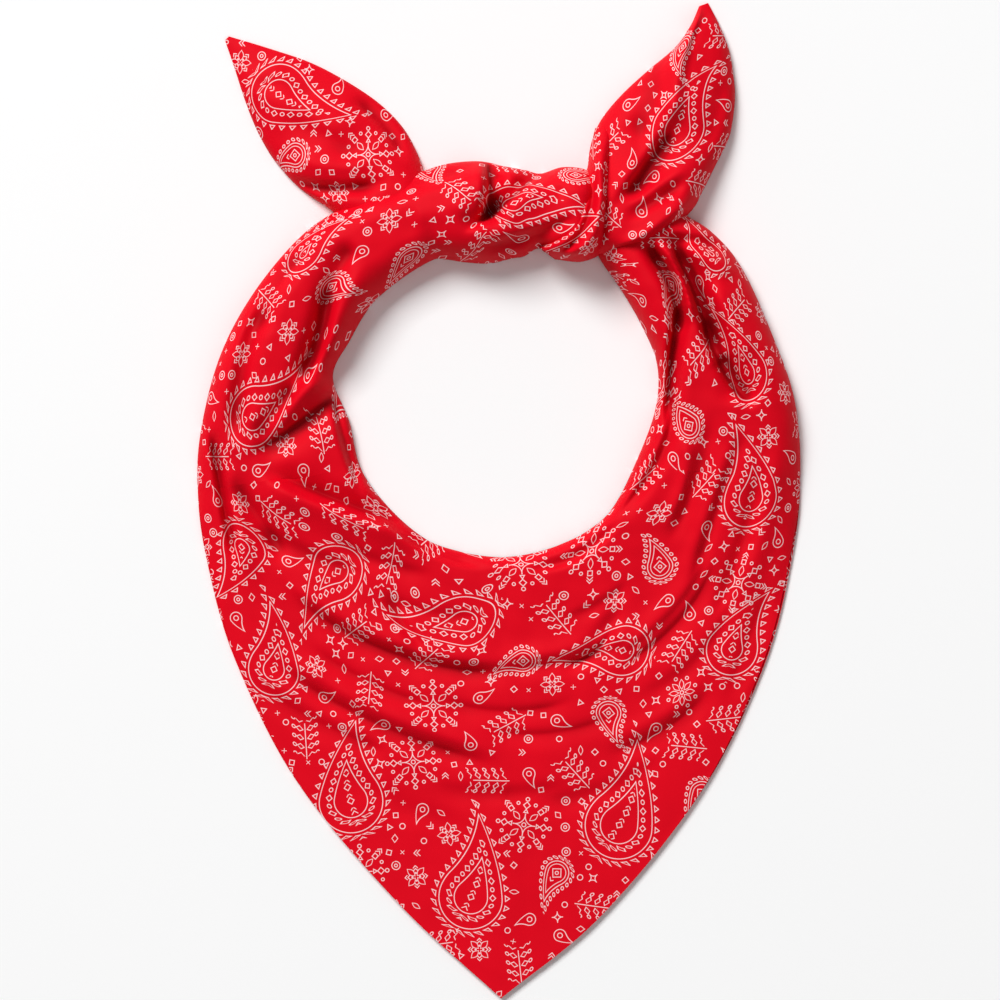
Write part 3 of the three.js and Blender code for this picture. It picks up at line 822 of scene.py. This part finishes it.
def either(choice, one, other):
    """one where choice is 1, and other where it is 0."""
    return choice.worked("MULTIPLY_ADD", one - other, other)


def together(first, *others):
    """Several drawings in one."""
    for other in others:
        first = first.larger(other)
    return first


def repeated(value, step):
    """value measured from the nearest multiple of step."""
    return value.worked("WRAP", step / 2, -step / 2)


class Pen:
    """Draws lines of one width along places where a distance is 0."""

    SOFTNESS = 0.16  # millimetres over which a line's edge fades

    def __init__(self, width):
        self.half = width / 2

    def line(self, distance, thinner=0.0):
        """1 on the line and 0 off it."""
        slope = -1 / self.SOFTNESS
        start = (self.half - thinner) / self.SOFTNESS + 0.5
        return abs(distance).worked("MULTIPLY_ADD", slope, start, clamp=True)

    def ring(self, p, q, radius):
        """A circle's outline."""
        return self.line(reach(p, q) - radius)

    def diamond(self, p, q, size):
        """A diamond's outline."""
        return self.line((abs(p) + abs(q) - size) * 0.72)

    def triangle(self, p, q, size):
        """A triangle's outline, pointing along p."""
        side = abs(q) * 0.87 + p * 0.5
        return self.line(side.larger(p * -1.0) - size * 0.5)

    def chevron(self, p, q, size):
        """A bent line that points along p."""
        bent = self.line((p + abs(q) - size * 0.5) * 0.72)
        return bent * abs(q).below(size)


def split_attribute(tree, name):
    """The three numbers that the cloth stores under a name."""
    source = tree.nodes.new("ShaderNodeAttribute")
    source.attribute_name = name
    parts = tree.nodes.new("ShaderNodeSeparateXYZ")
    tree.links.new(source.outputs["Vector"], parts.inputs[0])
    return [Number(tree, output) for output in parts.outputs]


def curled_drop(p, q, radius):
    """Places on a paisley: distance outside its outline, place along the outline and share of its size."""
    lean = 1 / PAISLEY_LENGTH
    stand = math.sqrt(1 - lean * lean)
    ahead = p.larger(0.0)
    curled = q - ahead * ahead * (PAISLEY_CURL * lean) / radius
    side_q = abs(curled)
    away = reach(p, curled)
    on_side = p * stand - side_q * lean
    is_round = on_side.below(0.0)
    distance = either(is_round, away, side_q * stand + p * lean) - radius
    angle = side_q.worked("ARCTAN2", p * -1.0) - math.atan2(stand, -lean)
    along = either(is_round, angle * away, on_side)
    return distance, along, curled


class Spot:
    """A place on a motif, seen from its middle."""

    def __init__(self, p, q):
        self.p = p
        self.q = q
        self.away = reach(p, q)
        self.angle = q.worked("ARCTAN2", p)
        self.known = {}

    def ray(self, count, between_them=False):
        """The place along and beside the nearest of some even rays, or of those halfway between them."""
        key = (count, between_them)
        if key not in self.known:
            step = 2 * math.pi / count
            angle = self.angle + step / 2 if between_them else self.angle
            turned = repeated(angle, step)
            self.known[key] = (self.away * turned.worked("COSINE"), self.away * turned.worked("SINE"))
        return self.known[key]


def concave_square(p, q, size, pen):
    """A square with hollow sides, standing on its corner."""
    return pen.line(size - reach(abs(p) - size, abs(q) - size)) * (abs(p) + abs(q)).below(size * 1.2)


def petal(along, beside, start, length, width, pen):
    """A pointed petal that lies along a ray."""
    share = (along - start) * (math.pi / length)
    swell = share.worked("SINE").larger(0.0) * width
    on_it = abs(along - (start + length / 2)).below(length / 2 + 0.2)
    return pen.line(abs(beside) - swell, 0.03) * on_it


# Sizes in the motifs' drawings are in millimetres, from the motif's centre or from its outline.


def large_paisley(tree, pen):
    """A large paisley: darts outside, and rings, diamonds and an inner drop inside."""
    p, q, radius = split_attribute(tree, "large")
    distance, along, curled = curled_drop(p, q, radius)
    inside = (distance + 8.9).below(0.0)
    row = repeated(p, 7.0)
    axis = together(pen.diamond(row, curled, 1.7), pen.chevron(row - 3.0, curled, 1.4))
    drawn = together(
        pen.line(distance),
        pen.triangle(distance - 2.5, repeated(along, 4.8), 1.5),
        pen.diamond(repeated(along, 8.0), distance + 4.9, 1.5),
        pen.ring(repeated(along + 4.0, 8.0), distance + 4.9, 0.95),
        pen.line(distance + 7.6),
        axis * inside,
    )
    return drawn * distance.below(4.2)


def medallion(spot, pen):
    """A hollow-sided square with rows of small shapes along eight rays."""
    along, beside = spot.ray(4)
    between, off = spot.ray(4, between_them=True)
    outer, off_outer = spot.ray(8, between_them=True)
    return together(
        concave_square(spot.p, spot.q, 4.8, pen),
        pen.line(spot.away - 1.0),
        pen.triangle(along - 6.8, beside, 1.2),
        pen.diamond(along - 9.9, beside, 1.7),
        pen.ring(along - 13.0, beside, 0.9),
        petal(between, off, 3.6, 5.0, 1.2, pen),
        pen.line(abs(between - 10.6).larger(abs(off)) - 1.1),
        pen.chevron(between - 13.2, off, 1.5),
        pen.chevron(between - 14.6, off, 1.5),
        pen.ring(outer - 11.4, off_outer, 0.75),
    )


def leaf(p, q, pen):
    """A middling paisley with an inner outline, a diamond round a ring, and rings outside."""
    p = p + LEAF_RADIUS * 0.8
    distance, along, curled = curled_drop(p, q, LEAF_RADIUS)
    return together(
        pen.line(distance),
        pen.line(distance + 1.5, 0.04),
        pen.diamond(p, curled, 2.9),
        pen.ring(p, curled, 0.8),
        pen.chevron(p - 4.4, curled, 1.2) * (distance + 1.8).below(0.0),
        pen.ring(repeated(along, 2.9), distance - 1.9, 0.75),
    )


def sprig(p, q, pen):
    """A stem with diamonds along both sides and a ring past each."""
    up = abs(q)
    leant = p - up * 0.45
    beside = repeated(leant, 4.5)
    twigs = together(pen.diamond(beside * 1.3, up - 2.7, 1.7), pen.ring(beside, up - 5.6, 0.8))
    return together(
        pen.line(q) * abs(p + 1.0).below(9.0),
        twigs * abs(leant).below(9.0) * up.below(7.2),
    )


def rosette(spot, pen):
    """Eight petals round a ring, with rings between their tips."""
    along, beside = spot.ray(8)
    between, off = spot.ray(8, between_them=True)
    return together(
        petal(along, beside, 1.7, 4.9, 1.15, pen),
        pen.line(spot.away - 0.9),
        pen.ring(between - 7.6, off, 0.8),
    )


def flower(spot, pen):
    """Four petals with chevrons between them."""
    along, beside = spot.ray(4)
    between, off = spot.ray(4, between_them=True)
    return together(
        petal(along, beside, 0.8, 5.0, 1.35, pen),
        pen.chevron(between - 3.6, off, 1.2),
        pen.chevron(between - 5.0, off, 1.2),
        pen.ring(between - 1.9, off, 0.3),
    )


def small_drop(p, q, pen):
    """A small paisley with a ring in its round end."""
    p = p + DROP_RADIUS * 0.6
    distance, _, curled = curled_drop(p, q, DROP_RADIUS)
    return pen.line(distance).larger(pen.ring(p, curled, 1.2))


def of_its_kind(kind, drawings):
    """The one of several drawings that each face's kind calls for."""
    return together(*(drawing * kind.is_near(float(number)) for number, drawing in enumerate(drawings)))


def middling_motif(tree, pen):
    """The middling motif that each face carries, in the order of MIDDLING."""
    p, q, kind = split_attribute(tree, "middling")
    spot = Spot(p, q)
    drawings = (
        medallion(spot, pen),
        leaf(p, q, pen),
        sprig(p, q, pen),
        rosette(spot, pen),
        flower(spot, pen),
        small_drop(p, q, pen),
    )
    return of_its_kind(kind, drawings)


def small_motif(tree, pen):
    """The small motif that each face carries: a ring, diamond, triangle, chevron and so on."""
    p, q, kind = split_attribute(tree, "small")
    away = reach(p, q)
    drawings = (
        pen.line(away - 1.35),
        pen.diamond(p * 1.35, q, 2.0),
        pen.triangle(p, q, 1.6),
        pen.chevron(p - 0.5, q, 1.6).larger(pen.chevron(p + 1.0, q, 1.6)),
        pen.line(repeated(away - 0.75, 1.3)) * away.below(2.3),
        concave_square(p, q, 2.4, pen),
        petal(p, q, -2.3, 4.6, 1.0, pen),
        pen.line(abs(p).larger(abs(q)) - 1.15),
        pen.line(abs(p) - abs(q)) * away.below(1.3),
    )
    return of_its_kind(kind, drawings)


def mixed(tree, share, one, other):
    """A colour between two, at a share that nodes work out."""
    node = tree.nodes.new("ShaderNodeMix")
    node.data_type = "RGBA"
    tree.links.new(share.socket, node.inputs["Factor"])
    for slot, value in ((node.inputs["A"], one), (node.inputs["B"], other)):
        if isinstance(value, bpy.types.NodeSocket):
            tree.links.new(value, slot)
        else:
            slot.default_value = (*value, 1)
    return node.outputs["Result"]


def weave_height(tree, thread):
    """Threads over and under each other, as a height."""
    place = tree.nodes.new("ShaderNodeUVMap")
    place.uv_map = "cloth"
    parts = tree.nodes.new("ShaderNodeSeparateXYZ")
    tree.links.new(place.outputs[0], parts.inputs[0])
    across = (Number(tree, parts.outputs[0]) * (math.pi / thread)).worked("SINE")
    up = (Number(tree, parts.outputs[1]) * (math.pi / thread)).worked("SINE")
    return across * up


UNEVEN_DYE = 0.86  # the deepest of the uneven dye, as a share of the cloth's colour
INK_COVER = 0.9  # how much of the cloth's colour the ink hides
PAINTED_SHADE_COLOUR = 0.16  # the painted shade's colour deep in a crease, as a share of the cloth's
PAINTED_SHADE_SHARE = 0.6  # and how much of that painted shade the deepest crease takes


def cloth_material(settings):
    """Soft red cotton with a slight sheen, a fine pale line print and painted shade in its deep creases."""
    material = bpy.data.materials.new("printed red cotton")
    material.use_nodes = True
    tree = material.node_tree
    shader = tree.nodes["Principled BSDF"]
    pen = Pen(settings.line / MM)
    drawn = together(large_paisley(tree, pen), middling_motif(tree, pen), small_motif(tree, pen))

    place = tree.nodes.new("ShaderNodeTexCoord").outputs["Object"]
    mottle = tree.nodes.new("ShaderNodeTexNoise")
    mottle.inputs["Scale"].default_value = 30
    mottle.inputs["Detail"].default_value = 2
    tree.links.new(place, mottle.inputs["Vector"])
    deeper = tuple(channel * UNEVEN_DYE for channel in settings.red)
    ground = mixed(tree, Number(tree, mottle.outputs["Fac"]), deeper, tuple(settings.red))
    colour = mixed(tree, drawn * INK_COVER, ground, tuple(settings.ink))
    # Painted shade: the cloth's colour darkens towards a deep red in the deep creases.
    painted_crease_shade = tree.nodes.new("ShaderNodeAttribute")
    painted_crease_shade.attribute_name = "painted_crease_shade"
    painted_shade_darkest = tuple(channel * PAINTED_SHADE_COLOUR for channel in settings.red)
    colour = mixed(tree, Number(tree, painted_crease_shade.outputs["Fac"]) * PAINTED_SHADE_SHARE, colour, painted_shade_darkest)
    tree.links.new(colour, shader.inputs["Base Color"])

    bump = tree.nodes.new("ShaderNodeBump")
    bump.inputs["Strength"].default_value = 0.25
    bump.inputs["Distance"].default_value = 0.00008
    tree.links.new(weave_height(tree, settings.thread).socket, bump.inputs["Height"])
    tree.links.new(bump.outputs["Normal"], shader.inputs["Normal"])
    shader.inputs["Roughness"].default_value = 0.62
    shader.inputs["Specular IOR Level"].default_value = 0.08
    shader.inputs["Sheen Weight"].default_value = 0.03
    shader.inputs["Sheen Roughness"].default_value = 0.4
    shader.inputs["Sheen Tint"].default_value = (1.0, 0.1, 0.12, 1)
    return material


def the_cloth_material():
    """The cloth's material, made once."""
    made = bpy.data.materials.get("printed red cotton")
    return made or cloth_material(bpy.context.scene.bandana_cloth)


# Pieces


def finish_piece(obj, nodes):
    deselect_all()
    obj.select_set(True)
    bpy.context.view_layer.objects.active = obj
    bpy.ops.object.shade_smooth_by_angle(angle=math.radians(SMOOTH_BELOW))
    obj.data.materials.clear()
    obj.data.materials.append(the_cloth_material())
    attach(obj, "root")
    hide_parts(*nodes)


def gathered_piece(name, strip, span, counts, paisleys, seed, printed=None):
    """A roll of cloth with a flat underside, between two places along a strip.

    printed holds the corners of the cloth that its print is laid out for, where other pieces share it.
    """
    settings = bpy.context.scene.bandana_cloth
    along, across = grid_places(*span, *counts, crowding=EDGE_CROWDING, power=1)
    points = np.stack(on_strip(strip, along, across, strip.low), axis=2)
    cloth = on_cloth(points).transpose(1, 0, 2).reshape(-1, 2)
    obj = new_grid(name, *counts)
    shape_grid(obj, points)
    make_shell(obj, settings.thickness)
    lay_flat(obj, 0, 1)
    layout = scatter(cloth if printed is None else printed, paisleys, settings, seed)
    print_on(obj, points, cloth, layout)
    return obj


LAYERED = 2  # how soon the drape lies on the back layer, going in from the sides
HOLLOW_UNDER = 1.6  # how soon its underside leaves the surface
NECK_ROLL = 12  # how soon its neck edge has rolled down over the back layer's
PEEK = 1.2  # how far the back layer shows past the hem
INSET = 3.4  # and how far it is in from the neck edge


class BANDANA_OT_front(bpy.types.Operator):
    """Add the upper layer of the drape, with its hanging folds"""

    bl_idname = "bandana.front"
    bl_label = "Front drape"

    def execute(self, context):
        settings = context.scene.bandana_cloth
        counts = (220, 210)
        along, across = grid_places(DRAPE_FROM, DRAPE_TO, *counts, crowding=0.0, power=1.35)
        inward = np.minimum(along - DRAPE_FROM, DRAPE_TO - along)
        hem = LAYER + HEM_GAP + settings.thickness / MM
        low = loop.low + (hem - loop.low) * smooth(inward * LAYERED)
        points = np.stack(on_strip(loop, along, across, low), axis=2)
        neck = np.clip(1 - across * NECK_ROLL, 0, 1) ** 2
        points[..., 2] -= (low - loop.low) * neck
        cloth = on_cloth(points).transpose(1, 0, 2).reshape(-1, 2)
        obj = new_grid("cloth_front_drape", *counts)
        shape_grid(obj, points)
        make_shell(obj, settings.thickness)
        under = (1 - smooth(inward * HOLLOW_UNDER)).T.reshape(-1)
        lay_flat(obj, THINNEST, under)
        print_on(obj, points, cloth, scatter(LOOP_CLOTH, LOOP_PAISLEYS, settings, 1))
        finish_piece(obj, ["front_drape"])
        return {"FINISHED"}


class BANDANA_OT_back(bpy.types.Operator):
    """Add the lower layer of the drape, flat on the surface"""

    bl_idname = "bandana.back"
    bl_label = "Back layer"

    def execute(self, context):
        settings = context.scene.bandana_cloth
        counts = (200, 90)
        along, across = grid_places(DRAPE_FROM, DRAPE_TO, *counts, crowding=0.0, power=1)
        x, y, _ = on_strip(loop, along, across, 0)
        share = (along - DRAPE_FROM) / (DRAPE_TO - DRAPE_FROM)
        points = np.stack([x, y, np.full(x.shape, LAYER)], axis=2)
        outward = points[:, -1:, :] - points[:, :1, :]
        outward = outward / np.linalg.norm(outward, axis=2, keepdims=True)
        peek = PEEK * np.sin(3 * np.pi * share) * across
        inset = INSET * (1 - across)
        points = points + outward * (peek + inset)[..., None]
        cloth = on_cloth(points).transpose(1, 0, 2).reshape(-1, 2) * (-1, 1)
        obj = new_grid("cloth_back_layer", *counts)
        shape_grid(obj, points)
        make_shell(obj, settings.thickness)
        lay_flat(obj, 0, 1)
        mirrored = [one._replace(x=-one.x, turn=180 - one.turn, curl=-one.curl) for one in FRONT_PAISLEYS]
        print_on(obj, points, cloth, scatter(cloth, mirrored, settings, 2))
        finish_piece(obj, ["back_layer"])
        return {"FINISHED"}


class BANDANA_OT_sides(bpy.types.Operator):
    """Add the gathered cloth on each side of the neck opening, the left one up to the knot's twist"""

    bl_idname = "bandana.sides"
    bl_label = "Left and right sides"

    def execute(self, context):
        printed = (LOOP_PAISLEYS, 1, LOOP_CLOTH)
        span = (0, len(left_side.rows) - 2)
        obj = gathered_piece("cloth_left_side", left_side, span, (300, 110), *printed)
        finish_piece(obj, ["left_side", "knot_band"])
        span = (1, len(right_side.rows) - 1)
        obj = gathered_piece("cloth_right_side", right_side, span, (220, 120), *printed)
        finish_piece(obj, ["right_side"])
        return {"FINISHED"}


class BANDANA_OT_knot(bpy.types.Operator):
    """Add the knot's turn of cloth round the twisted band"""

    bl_idname = "bandana.knot"
    bl_label = "Knot"

    def execute(self, context):
        obj = gathered_piece("cloth_knot_wrap", wrap, (0, len(WRAP) - 1), (120, 56), KNOT_PAISLEYS, 6)
        finish_piece(obj, ["knot_wrap"])
        return {"FINISHED"}


class BANDANA_OT_tails(bpy.types.Operator):
    """Add the two pointed tails beyond the knot"""

    bl_idname = "bandana.tails"
    bl_label = "Tails"

    def execute(self, context):
        for name, node, strip, seed in (
            ("cloth_left_tail", "left_tail", left_tail, 7),
            ("cloth_right_tail", "right_tail", right_tail, 8),
        ):
            span = (0, len(strip.rows) - 1)
            obj = gathered_piece(name, strip, span, (120, 70), TAIL_PAISLEYS, seed)
            finish_piece(obj, [node])
        return {"FINISHED"}


# Stage, in metres

KEY_PLACE = (-2.8, 4.2, 4.9)
KEY_SIZE = 2.8
FILL_PLACE = (0.9, -0.9, 1.7)
FILL_SIZE = 1.6
FLOOR_SIZE = 8
FLOOR_UNDER = 0.0003  # the floor is this far under the cloth
VIEW_MIDDLE = (0.0005, 0.00025)
SENSOR = 36.0  # the camera's, in millimetres as its lens is


def soft_light(name, place, size, power):
    """A square area light that looks at the bandana's middle."""
    deselect_all()
    bpy.ops.object.light_add(type="AREA", location=place)
    lamp = bpy.context.object
    lamp.name = name
    lamp.data.size = size
    lamp.data.energy = power
    lamp.rotation_euler = (-Vector(place)).to_track_quat("-Z", "Y").to_euler()


def floor_material(colour):
    """A matt, plain floor."""
    material = bpy.data.materials.new("plain floor")
    material.use_nodes = True
    tree = material.node_tree
    shader = tree.nodes["Principled BSDF"]
    place = tree.nodes.new("ShaderNodeTexCoord").outputs["Object"]
    grain = tree.nodes.new("ShaderNodeTexNoise")
    grain.inputs["Scale"].default_value = 4
    tree.links.new(place, grain.inputs["Vector"])
    paler = tuple(min(channel * 1.01, 1) for channel in colour)
    shade = mixed(tree, Number(tree, grain.outputs["Fac"]), tuple(colour), paler)
    tree.links.new(shade, shader.inputs["Base Color"])
    shader.inputs["Roughness"].default_value = 0.9
    shader.inputs["Specular IOR Level"].default_value = 0.1
    return material


class BANDANA_OT_studio(bpy.types.Operator):
    """Add the plain floor, the soft lights and the camera that looks straight down"""

    bl_idname = "bandana.studio"
    bl_label = "Studio"

    def execute(self, context):
        settings = context.scene.bandana_studio
        deselect_all()
        bpy.ops.mesh.primitive_plane_add(size=FLOOR_SIZE, location=(0, 0, -FLOOR_UNDER))
        floor = context.object
        floor.name = "floor"
        bpy.ops.object.transform_apply(location=True, rotation=True, scale=True)
        floor.data.materials.append(floor_material(settings.floor))

        soft_light("key light", KEY_PLACE, KEY_SIZE, settings.key_power)
        soft_light("fill light", FILL_PLACE, FILL_SIZE, settings.fill_power)
        world = bpy.data.worlds.new("soft surroundings")
        world.use_nodes = True
        world.node_tree.nodes["Background"].inputs["Color"].default_value = (1, 1, 1, 1)
        world.node_tree.nodes["Background"].inputs["Strength"].default_value = settings.sky
        context.scene.world = world
        context.scene.view_settings.view_transform = "Standard"

        distance = settings.view_width * settings.lens / SENSOR
        deselect_all()
        bpy.ops.object.camera_add(location=(*VIEW_MIDDLE, distance), rotation=(0, 0, 0))
        camera = context.object
        camera.data.lens = settings.lens
        camera.data.sensor_width = SENSOR
        camera.data.clip_end = 20
        context.scene.camera = camera
        return {"FINISHED"}


OPERATORS = (
    BANDANA_OT_front,
    BANDANA_OT_back,
    BANDANA_OT_sides,
    BANDANA_OT_knot,
    BANDANA_OT_tails,
    BANDANA_OT_studio,
)


class BANDANA_PT_panel(bpy.types.Panel):
    """Buttons and settings for the bandana"""

    bl_label = "Bandana"
    bl_idname = "BANDANA_PT_panel"
    bl_space_type = "VIEW_3D"
    bl_region_type = "UI"
    bl_category = "Bandana"

    def draw(self, context):
        layout = self.layout
        for group in (context.scene.bandana_cloth, context.scene.bandana_studio):
            box = layout.box()
            for name in group.__annotations__:
                box.prop(group, name)
        for operator in OPERATORS:
            layout.operator(operator.bl_idname)


CLASSES = (ClothSettings, StudioSettings, *OPERATORS, BANDANA_PT_panel)


def register():
    """Adds the classes and the scene's settings."""
    for one in CLASSES:
        bpy.utils.register_class(one)
    bpy.types.Scene.bandana_cloth = bpy.props.PointerProperty(type=ClothSettings)
    bpy.types.Scene.bandana_studio = bpy.props.PointerProperty(type=StudioSettings)


def unregister():
    """Takes away what register added."""
    del bpy.types.Scene.bandana_studio
    del bpy.types.Scene.bandana_cloth
    for one in reversed(CLASSES):
        bpy.utils.unregister_class(one)


def main():
    """Makes the bandana and the studio."""
    register()
    bpy.ops.bandana.front()
    bpy.ops.bandana.back()
    bpy.ops.bandana.sides()
    bpy.ops.bandana.knot()
    bpy.ops.bandana.tails()
    bpy.ops.bandana.studio()


if __name__ == "__main__":
    main()
